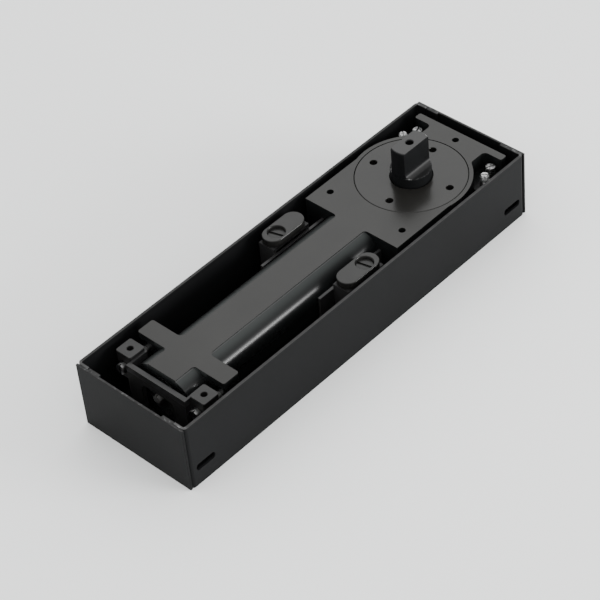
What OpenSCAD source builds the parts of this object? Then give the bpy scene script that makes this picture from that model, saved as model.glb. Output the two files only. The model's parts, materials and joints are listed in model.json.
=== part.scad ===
// Floor spring door closer: a hydraulic closer with a heart cam, carried in a sheet-steel case.
// The origin is on the spindle's axis at the underside of the case. +X runs along the case
// towards its short end, +Y points to its left side and +Z up. All sizes are millimetres.

/* [Case] */
// Overall length of the case
case_l = 285; // [275:1:300]
// Overall width of the case
case_w = 81.5; // [80:0.5:90]
// Overall height of the case
case_h = 45.5; // [45.5:0.5:48]
// Distance from the spindle's axis to the case's far end
case_far = 54.4; // [52:0.2:60]
// Thickness of the case's sheet
sheet = 1.5; // [1:0.1:2]
// Outer radius of the bends at the case's corners
case_bend = 2.5; // [2.2:0.1:4]
// Width of the returns that the side walls make behind each end plate
return_w = 8; // [5:0.5:12]
// Width of the two tabs folded inwards at the top of each end plate
tab_w = 8.5; // [5:0.5:12]
// Depth of these tabs below the rim
tab_h = 9; // [5:0.5:15]
// Length of an anchor slot in the side walls
slot_l = 14; // [8:0.5:20]
// Width of an anchor slot
slot_w = 3.2; // [2:0.1:6]
// Height of the anchor slots' centres above the base
slot_z = 12.5; // [8:0.5:20]
// Distance of an anchor slot's centre from the case's end
slot_in = 13; // [11:0.5:18]

/* [Closer body] */
// Distance from the rim of the case down to the body's top face
top_drop = 0.9; // [0.5:0.1:1.5]
// Radius of the hydraulic cylinder's bore
bore_r = 16; // [15.5:0.1:16.4]
// Wall thickness of the cylinder
cyl_wall = 4.3; // [3:0.1:4.4]
// Gap between the head's straight sides and the case's side walls
head_gap = 4.25; // [2.5:0.05:5]
// Distance from the spindle's axis to the head's near face
head_near = 53; // [48:0.5:58]
// Gap between the head's round far side and the case's side walls
head_far_gap = 3.25; // [2.2:0.05:3.8]
// Width of each far pocket, from the head's tongue to the case's side wall
pocket_w = 18.95; // [17.5:0.05:21]
// Distance between the far cross bar and the case's far end
far_room = 7.7; // [6:0.1:9]
// Thickness of the far cross bar along the case
far_bar_t = 4.9; // [4:0.1:5.2]
// Length of both cross bars beyond the axes of the lengthwise screws
bar_over = 4.8; // [3.5:0.1:6]
// Distance from the body's near end back to the near cross bar
near_bar_in = 14.3; // [12.5:0.1:18]
// Thickness of the near cross bar along the case
near_bar_t = 11.7; // [9:0.1:14]
// Depth of both cross bars below the body's top face
bar_h = 14; // [12:0.5:18]
// Distance between the body's near end and the case's near end
end_room = 25.1; // [24:0.1:30]
// Width of the flat pad along the neck
pad_w = 21; // [18:0.5:23]
// Radius of the round shoulders along both sides of the neck
neck_round = 12; // [10:0.5:14]
// Height of the pad above the neck's shoulders
pad_step = 0.5; // [0.3:0.1:1]
// Radius of the cover plate's threaded holes
cover_hole_r = 2.1; // [1.6:0.05:2.6]
// Depth of the cover plate's threaded holes
cover_hole_l = 10; // [6:0.5:11]
// Distance from the spindle's axis back to the two near cover holes
cover_near_x = 40; // [39:0.2:44]
// Distance between the two near cover holes
cover_pitch = 54.8; // [52:0.2:58]
// Distance from the far cross bar's outer face back to the far cover hole
cover_far_in = 6.7; // [5:0.1:8]

/* [Cap and spindle] */
// Width of the head's rim beside the screwed cap
cap_rim = 1.65; // [1.5:0.05:2.5]
// Thickness of the cap's flange
cap_t = 6.5; // [6:0.1:7]
// Radius of the four spanner holes in the cap
spanner_r = 2.25; // [1.5:0.05:2.6]
// Distance from the cap's edge in to the circle through the spanner holes
spanner_in = 7.95; // [5:0.05:9]
// Depth of the spanner holes
spanner_h = 4; // [2:0.5:5]
// Radius of the spindle's journal in the upper bearing
spindle_r = 12.5; // [12:0.1:13]
// How much smaller the radius of the round shoulder is than the journal's
spindle_relief = 0.3; // [0.2:0.1:0.6]
// How much smaller the radius of the flatted block is than the shoulder's
block_relief = 0.35; // [0.3:0.05:0.8]
// Height of the spindle's round shoulder above the cap
shoulder_h = 6; // [4:0.5:12]
// Width of the grinding groove at the shoulder's foot, just above the cap
foot_groove_w = 0.4; // [0.2:0.1:1]
// Depth of this groove
foot_groove_t = 0.25; // [0.15:0.05:0.6]
// Height of the spindle's flatted block above the cap
block_h = 24.5; // [18:0.5:40]
// Distance across the two flats of the block
flats_w = 10; // [8:0.5:14]
// Radius of the cutter's run-out where the flats meet the shoulder
runout_r = 4; // [2:0.5:5]
// Radius of the threaded hole in the spindle's top
top_hole_r = 2.1; // [1.6:0.1:3]
// Depth of the threaded hole in the spindle's top
top_hole_l = 12; // [8:0.5:16]

/* [Mechanism] */
// Largest angle that the spindle turns from its closed position
swing = 130; // [90:5:150]
// Rise of the heart cam over half a turn
cam_lift = 14; // [11:0.5:14.5]
// Distance from the spindle's axis to the near roller at rest
rest_r = 18.5; // [18.3:0.1:18.8]
// Radius of the two cam rollers
roller_r = 8; // [7.6:0.1:8.2]
// Radius of the pins that carry the rollers
pin_r = 3; // [2.5:0.1:3.5]
// Thickness of the heart cam
cam_t = 10; // [8:0.5:10]
// Radius of the spindle where the cam is keyed on
cam_seat_r = 9; // [8.8:0.1:9.3]
// Width of the parallel key between cam and spindle
key_w = 5; // [4:0.5:6]
// Thickness of the carriage plates
plate_t = 2.5; // [2:0.1:2.5]
// Length of the piston's skirt
piston_l = 26; // [20:0.5:32]
// Radius of the main spring's wire
wire_r = 2.3; // [1.8:0.1:2.4]
// Gap between the main spring and the bore
coil_gap = 2.4; // [1.9:0.1:2.5]
// Number of turns of the main spring
coil_turns = 11; // [9:1:13]
// Length of the end plug inside the bore
plug_l = 18; // [15:0.5:22]
// Distance between the two regulating valves
valve_pitch = 8.4; // [8:0.2:10]
// Radius of a regulating valve
valve_r = 2.5; // [2:0.1:2.8]
// How far the closing valve stands out of the end plug
valve_out = 1.6; // [0:0.1:3]

/* [Case fittings] */
// Thickness of the brackets' sheet
bracket_t = 1.5; // [1.2:0.1:2]
// Length of a clamp plate
clamp_l = 29.5; // [27:0.5:30]
// Width of a clamp plate
clamp_w = 13.5; // [12:0.5:14]
// Thickness of a clamp plate
clamp_t = 4.5; // [4:0.1:5]
// Distance from the head's near face back to the middle of the clamp plates
clamp_in = 26; // [24:0.5:29]
// How far the clamp plates lie inwards of the middle between cylinder and side wall
clamp_shift = 1.275; // [0.5:0.025:1.8]
// Distance from a clamp plate's middle to its screw
clamp_pivot = 5.6; // [4:0.2:8]
// Radius of a clamp screw's head
clamp_head_r = 4.4; // [3.8:0.1:4.8]
// Gap between the cylinder and the cheeks that carry the adjuster blocks
cheek_gap = 0.7; // [0.5:0.1:1.5]
// Length of an adjuster block along the case
block_l = 11.5; // [10:0.5:12]
// Width of an adjuster block across the case
block_w = 11.4; // [10:0.2:11.6]
// Depth of the adjuster blocks' tops below the rim
block_drop = 2.9; // [2:0.1:4]
// Depth of the lengthwise screws below the rim
push_drop = 12; // [11.5:0.1:13]
// Radius of the lengthwise screws' heads
push_head_r = 3.3; // [3:0.1:3.8]
// Distance from the far cross bar's outer face back to the height screws
height_in = 18; // [17.5:0.1:18.5]
// Distance of the height screws from the case's side walls
height_gap = 8.05; // [7.5:0.05:8.5]
// Distance from the far cross bar's outer face back to the fixing screws
fixing_in = 8.7; // [8.6:0.1:9]
// Depth of the lips along the clamp brackets below the rim
lip_drop = 9; // [8:0.5:14]
// Distance of the fixing screws from the case's side walls
fixing_gap = 11.25; // [11:0.05:11.8]
// Depth of the far lugs' tops below the rim
lug_drop = 11.5; // [11:0.1:13]

/* [Hidden] */

$fn = 64;

// Clearances shared by the pieces
seat_gap = 0.1;     // between a piece and the flat it rests on
slide_gap = 0.07;   // radial, piston in its bore
run_gap = 0.03;     // radial, journals in their bearings
fit_gap = 0.05;     // radial, pieces pressed or screwed together
roll_gap = 0.3;     // between the cam and a roller
side_gap = 0.3;     // beside a roller, and between a clamp and its bracket
screw_gap = 0.25;   // radial, a screw in a plain hole
eps = 0.01;         // lets shapes that touch run into each other
bite = 1;           // how far cutters and joined shapes reach past each other

// Screws, pins and holes that several pieces share: core radii
screw_r = 2.5;      // lengthwise and fixing screws
height_r = 3;       // height screws
clamp_r = 3;        // clamp screws
tie_r = 2;          // pins between the carriage plates and the piston
grub_r = 2;         // grub screws in the adjuster blocks
oil_r = 1.1;        // oil gallery in the body

// Case
case_x0 = case_far - case_l;
wall_in = case_w / 2 - sheet;
floor_z = sheet + bracket_t;
end_cut = 10;           // reach of the cutters that open the case's ends
rim_gap = 0.3;          // from an end plate to the rim and to the side walls
tab_gap = 0.4;          // from a tab to the return beside it

// The body's head, tongue and bars
fillet_r = 3;           // in the inside corners of the casting's outline
head_lap = 5;           // reach of the head's straight sides past the spindle's axis
head_w = 2 * (wall_in - head_gap);
head_r = wall_in - head_far_gap;
tongue_w = 2 * (wall_in - pocket_w);
far_bar_x = case_far - far_room;
body_end = -case_x0 - end_room;
near_bar_x = body_end - near_bar_in;
cover_far_x = far_bar_x - cover_far_in;
cap_r = head_w / 2 - cap_rim;

// Levels of the body
body_top = case_h - top_drop;
body_bottom = floor_z + seat_gap;
cyl_r = bore_r + cyl_wall;
axis_z = body_bottom + cyl_r;
cap_seat_z = body_top - cap_t;
cap_ledge = 3.35;       // width of the seat under the cap's flange
cap_seal_r = 0.88;      // section radius of the O-ring in the cap's rim
cap_seal_in = cap_r - 0.68;
cap_seal_z = cap_seat_z + 2.6;
cavity_r = cap_r - cap_ledge;

// Levels of the cam and its carriage, all centred on the cylinder's axis
cam_z0 = axis_z - cam_t / 2;
plate_in = cam_t / 2 + 0.9;             // from the axis to a carriage plate's inner face
plate_out = plate_in + plate_t;
cavity_gap = 0.6;                       // from a carriage plate to the cavity's floor or cap
cavity_z0 = axis_z - plate_out - cavity_gap;
cavity_z1 = axis_z + plate_out + cavity_gap;

// Carriage plates: half-widths behind and beside the cam, and the round nose at the far roller
plate_narrow = 12;
plate_wide = 17;
plate_nose = roller_r - 0.5;

// Bearings: bore radius, outer radius and width of the two ball bearings
brg_gap = 0.3;                          // from a bearing to the wall or shoulder beside it
upper_brg_r = spindle_r + 6;
upper_brg_w = 7;
upper_brg_z = cavity_z1 + brg_gap;
lower_journal_r = 8.5;
lower_brg_r = lower_journal_r + 6.5;
lower_brg_w = 7;
lower_brg_z = cavity_z0 - lower_brg_w - 0.4;
hub_r = upper_brg_r + 3.5;
seal_r = upper_brg_r - 1.2;
seal_h = 2.6;
seal_z = upper_brg_z + upper_brg_w + seat_gap;

// Heart cam: its pitch curve rises evenly, so two opposite rollers stay the same distance apart
cam_rate = cam_lift / PI;               // rise per radian
far_r = rest_r + cam_lift;
travel = cam_rate * swing * PI / 180;
cam_rho = roller_r + roll_gap;
key_out = 2.2;                          // how far the key stands out of the spindle

// Piston, spring and plug along the cylinder
coil_r = bore_r - coil_gap - wire_r;
tongue_l = 10.5;                        // of the piston's tongue between the carriage plates
tongue_x0 = -(rest_r + roller_r + 1);
crown_x = tongue_x0 - tongue_l;
piston_x = crown_x - piston_l;
plug_x = -(body_end - 1.5);
plug_in_x = plug_x + plug_l;
coil_seat = 0.2;                        // between the spring's end coils and what they press on
spigot_r = coil_r - wire_r - 0.5;       // of the spigots that centre the spring
spigot_l = 6;
port_x = plug_in_x - 8;                 // middle of the end plug's oil groove
port_r = 0.9;
plug_seal_x = plug_in_x - 3.6;
plug_seal_r = 0.93;
rim_cut = 0.9;                          // rebate around the end plug's outer face
valve_l = 10.6;                         // of a valve inside the end plug
tie_x = tongue_x0 - 5;
tie_y = 6;
ball_r = 2.6;
ball_x = crown_x - 10;
ball_pin_r = 0.8;
ball_pin_l = 19.8;
ring_in = 4;                            // from the piston's crown to its ring groove
ring_w = 4;
ring_t = 3;
stop_x = ball_x - ball_r - 1.3;

// Clamps
clamp_x = head_near + clamp_in;
clamp_y = (cyl_r + wall_in) / 2 - clamp_shift;
clamp_top = case_h - 0.8;
clamp_z = clamp_top - clamp_t;
clamp_plate_z = clamp_z - side_gap;     // top of the clamp bracket
clamp_sink = 2.8;                       // depth of the counterbore in a clamp plate
clamp_screw_l = 6;                      // of a clamp screw below the bracket's top
clamp_lip_y = cyl_r + cheek_gap;        // inner face of the lip along a clamp bracket

// Screwdriver slots
slot_deep = 1.5;
slot_wide = 1;

// Near end
block_x1 = -(body_end - 9.5);
block_x0 = block_x1 - block_l;
yoke_x = block_x0 - 0.5;                // inner face of the yoke's web
cheek_y = cyl_r + cheek_gap + bracket_t; // outer face of a cheek
block_y = cheek_y + block_w / 2;
bar_l = 2 * (block_y + bar_over);
push_z = case_h - push_drop;
block_top = case_h - block_drop;
yoke_top = case_h - 5;

// Far end
lug_top = case_h - lug_drop;
lug_t = 9.5;
lug_rim = 4.3;                          // from a height screw's axis to the lug's edge
post_top = lug_top - lug_t - seat_gap;
post_r = 4.6;
fixing_l = 10;                          // length of a fixing screw inside its post
height_x = far_bar_x - height_in;
height_y = wall_in - height_gap;
fixing_x = far_bar_x - fixing_in;
fixing_y = wall_in - fixing_gap;

// Lip at the foot of each end plate and foot of the yoke, both lying on the floor
lip_l = 6.5;
yoke_foot = 12;

// Rivets that hold the brackets to the floor: [x, y] on the left side
rivet_r = 1.6;
clamp_foot = 11;
rivet_left = [[-clamp_x - clamp_l / 2 - clamp_foot / 2, clamp_y],
    [-clamp_x + clamp_l / 2 + clamp_foot / 2, clamp_y],
    [yoke_x - yoke_foot * 0.75, 14], [fixing_x + 6.2, fixing_y + 5.2]];

// ---- Shapes shared by several pieces ----

// A box between two opposite corners
module box(p, q) { translate(p) cube(q - p); }

// A rod along X between two stations
module rod_x(x0, x1, r, y = 0, z = 0) {
    translate([x0, y, z]) rotate([0, 90, 0]) cylinder(r = r, h = x1 - x0);
}

// A rod along Z between two levels
module rod_z(z0, z1, r, x = 0, y = 0) { translate([x, y, z0]) cylinder(r = r, h = z1 - z0); }

// A ring about an X axis, for seals and grooves
module ring_x(x0, x1, r_in, r_out) {
    difference() {
        rod_x(x0, x1, r_out, 0, axis_z);
        rod_x(x0 - 1, x1 + 1, r_in, 0, axis_z);
    }
}

// The children and their mirror image on the other side of the case
module both_sides() {
    children();
    mirror([0, 1, 0]) children();
}

// A rectangle with round corners
module round_rect(x0, x1, y0, y1, r) {
    translate([x0 + r, y0]) square([x1 - x0 - 2 * r, y1 - y0]);
    translate([x0, y0 + r]) square([x1 - x0, y1 - y0 - 2 * r]);
    for (x = [x0 + r, x1 - r], y = [y0 + r, y1 - r]) translate([x, y]) circle(r = r);
}

// A slot with round ends, centred on the origin and long in X
module obround(length, width) {
    square([length - width, width], center = true);
    for (s = [-1, 1]) translate([s * (length - width) / 2, 0]) circle(r = width / 2);
}

// Fills the inside corner at [x, y]; qx and qy point into the open quarter
module corner_fill(x, y, r, qx, qy) {
    difference() {
        translate([x + (qx < 0 ? -r : -eps), y + (qy < 0 ? -r : -eps)]) square([r + eps, r + eps]);
        translate([x + qx * r, y + qy * r]) circle(r = r);
    }
}

// A screwdriver slot across a head whose face is at z, centred on the origin
module driver_slot(r, depth, width, z) {
    translate([0, 0, z - depth / 2 + eps]) cube([2 * r + 1, width, depth], center = true);
}

// A deep-groove ball bearing standing on z = 0, as two grooved rings and its balls
module ball_bearing(r_in, r_out, width, balls) {
    mid_r = (r_in + r_out) / 2;
    ball_r = min((r_out - r_in) * 0.3, width * 0.36);
    land = ball_r * 0.45;
    for (side = [[r_in, mid_r - land], [mid_r + land, r_out]])
        rotate_extrude() difference() {
            translate([side[0], 0]) square([side[1] - side[0], width]);
            translate([mid_r, width / 2]) circle(r = ball_r + 0.04);
        }
    for (i = [0:balls - 1])
        rotate([0, 0, i * 360 / balls]) translate([mid_r, 0, width / 2]) sphere(r = ball_r);
}

// ---- Case ----

module wall_outline(inset) {
    round_rect(case_x0 + sheet + inset, case_far - sheet - inset,
        -case_w / 2 + inset, case_w / 2 - inset, case_bend - inset);
}

module case_tray() {
    color([0.17, 0.175, 0.18]) difference() {
        union() {
            linear_extrude(sheet) wall_outline(0);
            linear_extrude(case_h) difference() {
                wall_outline(0);
                wall_outline(sheet);
            }
        }
        // Each end is open between the returns of the side walls
        for (x = [case_x0, case_far - end_cut])
            box([x, -case_w / 2 + return_w, sheet], [x + end_cut, case_w / 2 - return_w, case_h + bite]);
        for (x = [case_x0 + slot_in, case_far - slot_in])
            translate([x, 0, slot_z]) rotate([90, 0, 0])
                linear_extrude(case_w + 2 * bite, center = true) obround(slot_l, slot_w);
        rivet_holes();
    }
}

// One end plate, drawn for the end whose outer face is at x = 0 and whose inside is at +x
module end_plate() {
    top = case_h - rim_gap;
    half = case_w / 2 - rim_gap;
    tab_y = case_w / 2 - return_w - tab_gap;
    lip_y = tab_y - tab_w - tab_gap * 2.5;
    box([0, -half, 0], [sheet, half, top]);
    both_sides() box([sheet - eps, tab_y - tab_w, top - tab_h], [2 * sheet, tab_y, top]);
    box([sheet - eps, -lip_y, sheet], [lip_l, lip_y, 2 * sheet]);
}

module near_end_plate() { color([0.18, 0.185, 0.19]) translate([case_x0, 0, 0]) end_plate(); }

module far_end_plate() {
    color([0.18, 0.185, 0.19]) translate([case_far, 0, 0]) mirror([1, 0, 0]) end_plate();
}

module rivet_holes() {
    both_sides() for (p = rivet_left) rod_z(-bite, floor_z + bite, rivet_r + fit_gap, p[0], p[1]);
}

module floor_rivets() {
    rivet_head = rivet_r * 1.8;
    color([0.42, 0.42, 0.43]) both_sides() for (p = rivet_left) translate([p[0], p[1], 0]) {
        cylinder(r = rivet_r, h = floor_z + rivet_r * 0.3);
        translate([0, 0, floor_z]) cylinder(r1 = rivet_head, r2 = rivet_head * 0.6, h = rivet_r * 0.7);
    }
}

// ---- Closer body ----

// Rounds the pocket's corner between the head's arc and the tongue
module pocket_fill(r) {
    y0 = tongue_w / 2;
    cy = y0 + r;
    cx = sqrt(pow(head_r + r, 2) - pow(cy, 2));
    in_scale = (head_r - seat_gap) / (head_r + r);
    difference() {
        polygon([[cx - r, y0 - bite], [cx, y0 - bite], [cx, cy], [cx * in_scale, cy * in_scale]]);
        translate([cx, cy]) circle(r = r);
    }
}

module head_plan() {
    translate([-head_near, -head_w / 2]) square([head_near + head_lap, head_w]);
    circle(r = head_r, $fn = 128);
    translate([0, -tongue_w / 2]) square([far_bar_x - bite, tongue_w]);
    both_sides() pocket_fill(fillet_r);
}

module far_bar_plan() {
    x0 = far_bar_x - far_bar_t;
    round_rect(x0, far_bar_x, -bar_l / 2, bar_l / 2, fillet_r * 0.4);
    both_sides() corner_fill(x0, tongue_w / 2, fillet_r, -1, 1);
}

module near_bar_plan() {
    x0 = -near_bar_x;
    x1 = x0 + near_bar_t;
    round_rect(x0, x1, -bar_l / 2, bar_l / 2, fillet_r * 0.5);
    both_sides() {
        corner_fill(x1, pad_w / 2, fillet_r * 1.2, 1, 1);
        corner_fill(x0, pad_w / 2, fillet_r * 0.7, -1, 1);
    }
}

module neck_plan(width, r) {
    translate([-body_end, -width / 2]) square([body_end - head_near + bite, width]);
    both_sides() corner_fill(-head_near, width / 2, r, -1, 1);
}

// The closed space around cam and carriage, open towards the cylinder's bore
module cam_cavity() {
    channel_y = plate_wide + 1.5;
    nose_y = roller_r + 2.5;
    rod_z(cavity_z0, cap_seat_z + eps, cavity_r);
    box([-(rest_r + travel + 5), -channel_y, cavity_z0], [0, channel_y, cavity_z1]);
    box([0, -nose_y, cavity_z0], [far_r, nose_y, cavity_z1]);
    rod_z(cavity_z0, cavity_z1, plate_nose + 1.7, far_r);
    rod_z(cap_seat_z, body_top + bite, cap_r + screw_gap);
    rod_z(lower_brg_z - brg_gap, cavity_z0 + eps, lower_brg_r + fit_gap);
}

module closer_body() {
    end_chamfer = 1.5;
    side_y = cyl_r - 0.15;
    bore_x0 = -body_end - bite;
    web_x = -near_bar_x + near_bar_t / 2;
    web_t = 4;
    gallery_z = axis_z + bore_r + 1.9;
    color([0.40, 0.41, 0.42]) difference() {
        union() {
            rod_x(-body_end + end_chamfer, -head_near + head_lap, cyl_r, 0, axis_z);
            translate([-body_end, 0, axis_z]) rotate([0, 90, 0])
                cylinder(r1 = cyl_r - end_chamfer, r2 = cyl_r, h = end_chamfer);
            translate([0, 0, axis_z]) linear_extrude(body_top - axis_z) neck_plan(pad_w, fillet_r * 0.8);
            // Round shoulders that hang from the pad and run into the cylinder's sides
            translate([-body_end, 0, 0]) rotate([90, 0, 90])
                linear_extrude(body_end - head_near + bite)
                    round_rect(-side_y, side_y, axis_z - neck_round, body_top - pad_step, neck_round);
            translate([0, 0, body_bottom]) linear_extrude(body_top - body_bottom) head_plan();
            translate([0, 0, body_top - bar_h]) linear_extrude(bar_h) {
                near_bar_plan();
                far_bar_plan();
            }
            // Webs that carry the near cross bar
            both_sides() box([web_x - web_t / 2, cyl_r / 2, axis_z],
                [web_x + web_t / 2, cheek_y + bracket_t, body_top - bar_h + bite]);
            // Lugs in the far pockets
            both_sides() translate([0, 0, lug_top - lug_t]) linear_extrude(lug_t)
                round_rect(head_r * 0.6, far_bar_x - bite, tongue_w / 2 - 2 * bite, height_y + lug_rim,
                    fillet_r * 0.8);
        }
        rod_x(bore_x0, -rest_r, bore_r, 0, axis_z);
        cam_cavity();
        both_sides() {
            rod_z(body_top - cover_hole_l, body_top + bite, cover_hole_r, -cover_near_x,
                cover_pitch / 2);
            rod_z(lug_top - lug_t - bite, lug_top + bite, height_r + fit_gap, height_x, height_y);
            translate([fixing_x, fixing_y, lug_top - lug_t - bite]) linear_extrude(lug_t + 2 * bite)
                obround(screw_r * 2.8, 2 * (screw_r + screw_gap));
            rod_x(-near_bar_x - bite, -near_bar_x + near_bar_t - bite, screw_r + fit_gap, block_y, push_z);
        }
        rod_z(body_top - cover_hole_l, body_top + bite, cover_hole_r, cover_far_x);
        // Oil gallery from the end plug's ring groove to the space before the piston's crown
        rod_x(port_x - oil_r, crown_x + 2 * oil_r, oil_r, 0, gallery_z);
        for (x = [port_x, crown_x + oil_r]) rod_z(axis_z + bore_r - bite, gallery_z, oil_r, x);
    }
}

// ---- Cap, bearings and seals ----

module head_cap() {
    bore = spindle_r + screw_gap;
    edge = 0.4;
    groove_w = cap_seal_r * 2.5;
    color([0.42, 0.43, 0.44]) difference() {
        union() {
            rod_z(cap_seat_z + 0.02, body_top - edge, cap_r);
            translate([0, 0, body_top - edge]) cylinder(r1 = cap_r, r2 = cap_r - edge, h = edge);
            rod_z(upper_brg_z, cap_seat_z + seat_gap, hub_r);
        }
        rod_z(upper_brg_z - bite, upper_brg_z + upper_brg_w, upper_brg_r + fit_gap);
        rod_z(upper_brg_z, seal_z + seal_h + seat_gap, seal_r + fit_gap);
        rod_z(upper_brg_z, body_top + bite, bore);
        for (a = [11:90:281]) rotate([0, 0, a])
            rod_z(body_top - spanner_h, body_top + bite, spanner_r, cap_r - spanner_in);
        // Groove for the O-ring around the flange's rim
        rotate_extrude() translate([cap_seal_in - 1.1 * cap_seal_r, cap_seal_z - groove_w / 2])
            square([4 * cap_seal_r, groove_w]);
    }
}

module cap_seal() {
    color([0.06, 0.06, 0.06]) rotate_extrude()
        translate([cap_seal_in, cap_seal_z]) circle(r = cap_seal_r);
}

module upper_bearing() {
    color([0.75, 0.76, 0.78]) translate([0, 0, upper_brg_z])
        ball_bearing(spindle_r + run_gap, upper_brg_r, upper_brg_w, 16);
}

module lower_bearing() {
    color([0.75, 0.76, 0.78]) translate([0, 0, lower_brg_z])
        ball_bearing(lower_journal_r + run_gap, lower_brg_r, lower_brg_w, 11);
}

module shaft_seal() {
    lip = spindle_r + seat_gap;
    color([0.08, 0.08, 0.08]) translate([0, 0, seal_z]) rotate_extrude()
        polygon([[lip + 1.6, 0], [seal_r, 0], [seal_r, seal_h], [lip, seal_h], [lip, seal_h - 0.8],
            [lip + 1.2, seal_h - 1], [lip, 0.6], [lip + 0.4, 0.2]]);
}

// ---- Spindle and cam ----

module key_box(gap) {
    box([cam_seat_r - key_w / 2 - gap, -key_w / 2 - gap, cam_z0 - gap],
        [cam_seat_r + key_out + gap, key_w / 2 + gap, cam_z0 + cam_t + gap]);
}

module spindle_shaft() {
    shoulder_z = body_top + shoulder_h;
    top_z = body_top + block_h;
    flat_y = flats_w / 2;
    shoulder_r = spindle_r - spindle_relief;
    block_r = shoulder_r - block_relief;
    cut_r = spindle_r + bite;
    edge = 0.8;
    sink = 0.6;
    color([0.25, 0.255, 0.26]) difference() {
        union() {
            rod_z(lower_brg_z - seat_gap, cavity_z0 - brg_gap, lower_journal_r);
            rod_z(cavity_z0 - brg_gap, upper_brg_z - brg_gap, cam_seat_r);
            rod_z(upper_brg_z - brg_gap, body_top - bite, spindle_r);
            rod_z(body_top - bite, body_top + foot_groove_w, shoulder_r - foot_groove_t);
            rod_z(body_top + foot_groove_w, shoulder_z, shoulder_r);
            rod_z(shoulder_z, top_z - edge, block_r);
            translate([0, 0, top_z - edge]) cylinder(r1 = block_r, r2 = block_r - edge, h = edge);
        }
        both_sides() {
            box([-cut_r, flat_y, shoulder_z + runout_r], [cut_r, cut_r, top_z + bite]);
            box([-cut_r, flat_y + runout_r, shoulder_z], [cut_r, cut_r, top_z + bite]);
            rod_x(-cut_r, cut_r, runout_r, flat_y + runout_r, shoulder_z + runout_r);
        }
        rod_z(top_z - top_hole_l, top_z + bite, top_hole_r);
        translate([0, 0, top_z - sink + eps])
            cylinder(r1 = top_hole_r, r2 = top_hole_r + sink, h = sink);
        key_box(fit_gap);
    }
}

// A point of the cam's flank, a degrees round from the notch; side is 1 or -1
function cam_point(a, side) =
    let (r = rest_r + cam_rate * a * PI / 180, s = sqrt(r * r + cam_rate * cam_rate),
        radial = r * (1 - cam_rho / s), tangent = side * cam_rho * cam_rate / s, t = 180 + side * a)
    [radial * cos(t) - tangent * sin(t), radial * sin(t) + tangent * cos(t)];

// The heart's outline: two mirrored flanks and the cradle that holds the roller at rest
module heart_outline() {
    step = 3;
    lower = [for (a = [0:step:180]) let (p = cam_point(a, 1)) if (p[1] < 0) p];
    upper = [for (i = [len(lower) - 1:-1:0]) [lower[i][0], -lower[i][1]]];
    open = atan(cam_rate / rest_r);
    cradle = [for (i = [1:5]) let (b = open * (1 - i / 3))
        [-rest_r + cam_rho * cos(b), cam_rho * sin(b)]];
    polygon(concat(lower, upper, cradle));
}

module heart_cam() {
    color([0.62, 0.63, 0.65]) translate([0, 0, cam_z0]) linear_extrude(cam_t) difference() {
        heart_outline();
        circle(r = cam_seat_r + fit_gap);
        translate([0, -key_w / 2 - fit_gap])
            square([cam_seat_r + key_out + fit_gap, key_w + 2 * fit_gap]);
    }
}

module cam_key() { color([0.55, 0.56, 0.57]) key_box(0); }

// ---- Carriage and piston ----

module plate_plan() {
    slot = cam_seat_r + 0.7;
    step_x = -rest_r - plate_narrow / 3;
    side = [[crown_x + bite, plate_narrow], [step_x, plate_narrow], [step_x, plate_wide],
        [travel + slot - plate_narrow / 3, plate_wide]];
    difference() {
        polygon(concat([for (p = side) [p[0], -p[1]]],
            [for (a = [-90:10:90]) [far_r + plate_nose * cos(a), plate_nose * sin(a)]],
            [for (i = [len(side) - 1:-1:0]) side[i]]));
        // The spindle passes through this slot over the whole travel
        translate([travel / 2, 0]) obround(2 * slot + travel, 2 * slot);
        for (x = [-rest_r, far_r]) translate([x, 0]) circle(r = pin_r + fit_gap);
        for (y = [-tie_y, tie_y]) translate([tie_x, y]) circle(r = tie_r + fit_gap);
    }
}

module upper_carriage_plate() {
    color([0.55, 0.56, 0.58]) translate([0, 0, axis_z + plate_in]) linear_extrude(plate_t) plate_plan();
}

module lower_carriage_plate() {
    color([0.55, 0.56, 0.58]) translate([0, 0, axis_z - plate_out]) linear_extrude(plate_t) plate_plan();
}

module carriage_pins() {
    color([0.7, 0.7, 0.72]) for (y = [-tie_y, tie_y])
        rod_z(axis_z - plate_out, axis_z + plate_out, tie_r, tie_x, y);
}

module roller(x) {
    half = plate_in - side_gap;
    color([0.72, 0.73, 0.75]) difference() {
        rod_z(axis_z - half, axis_z + half, roller_r, x);
        rod_z(axis_z - half - bite, axis_z + half + bite, pin_r + fit_gap, x);
    }
}

module near_roller() { roller(-rest_r); }

module far_roller() { roller(far_r); }

module roller_pin(x) { color([0.6, 0.6, 0.62]) rod_z(axis_z - plate_out, axis_z + plate_out, pin_r, x); }

module near_roller_pin() { roller_pin(-rest_r); }

module far_roller_pin() { roller_pin(far_r); }

module piston() {
    piston_r = bore_r - slide_gap;
    tongue_y = plate_narrow - 2;
    tongue_h = plate_in - fit_gap;
    chamber_r = ball_r + screw_gap;
    color([0.58, 0.59, 0.6]) difference() {
        union() {
            rod_x(piston_x, crown_x, piston_r, 0, axis_z);
            rod_x(piston_x - spigot_l, piston_x + bite, spigot_r, 0, axis_z);
            box([crown_x - bite, -tongue_y, axis_z - tongue_h], [tongue_x0, tongue_y, axis_z + tongue_h]);
        }
        ring_x(crown_x - ring_in - ring_w, crown_x - ring_in, bore_r - ring_t, bore_r + bite);
        for (y = [-tie_y, tie_y]) rod_z(0, case_h, tie_r + fit_gap, tie_x, y);
        // Check valve: passage, ball chamber and the cross hole of its stop pin
        rod_x(ball_x, tongue_x0 + bite, ball_r * 0.6, 0, axis_z);
        rod_x(piston_x - spigot_l - bite, ball_x + ball_r + 0.02, chamber_r, 0, axis_z);
        rod_z(axis_z - ball_pin_l / 2 - seat_gap, axis_z + bore_r + bite, ball_pin_r + fit_gap, stop_x);
    }
}

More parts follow.
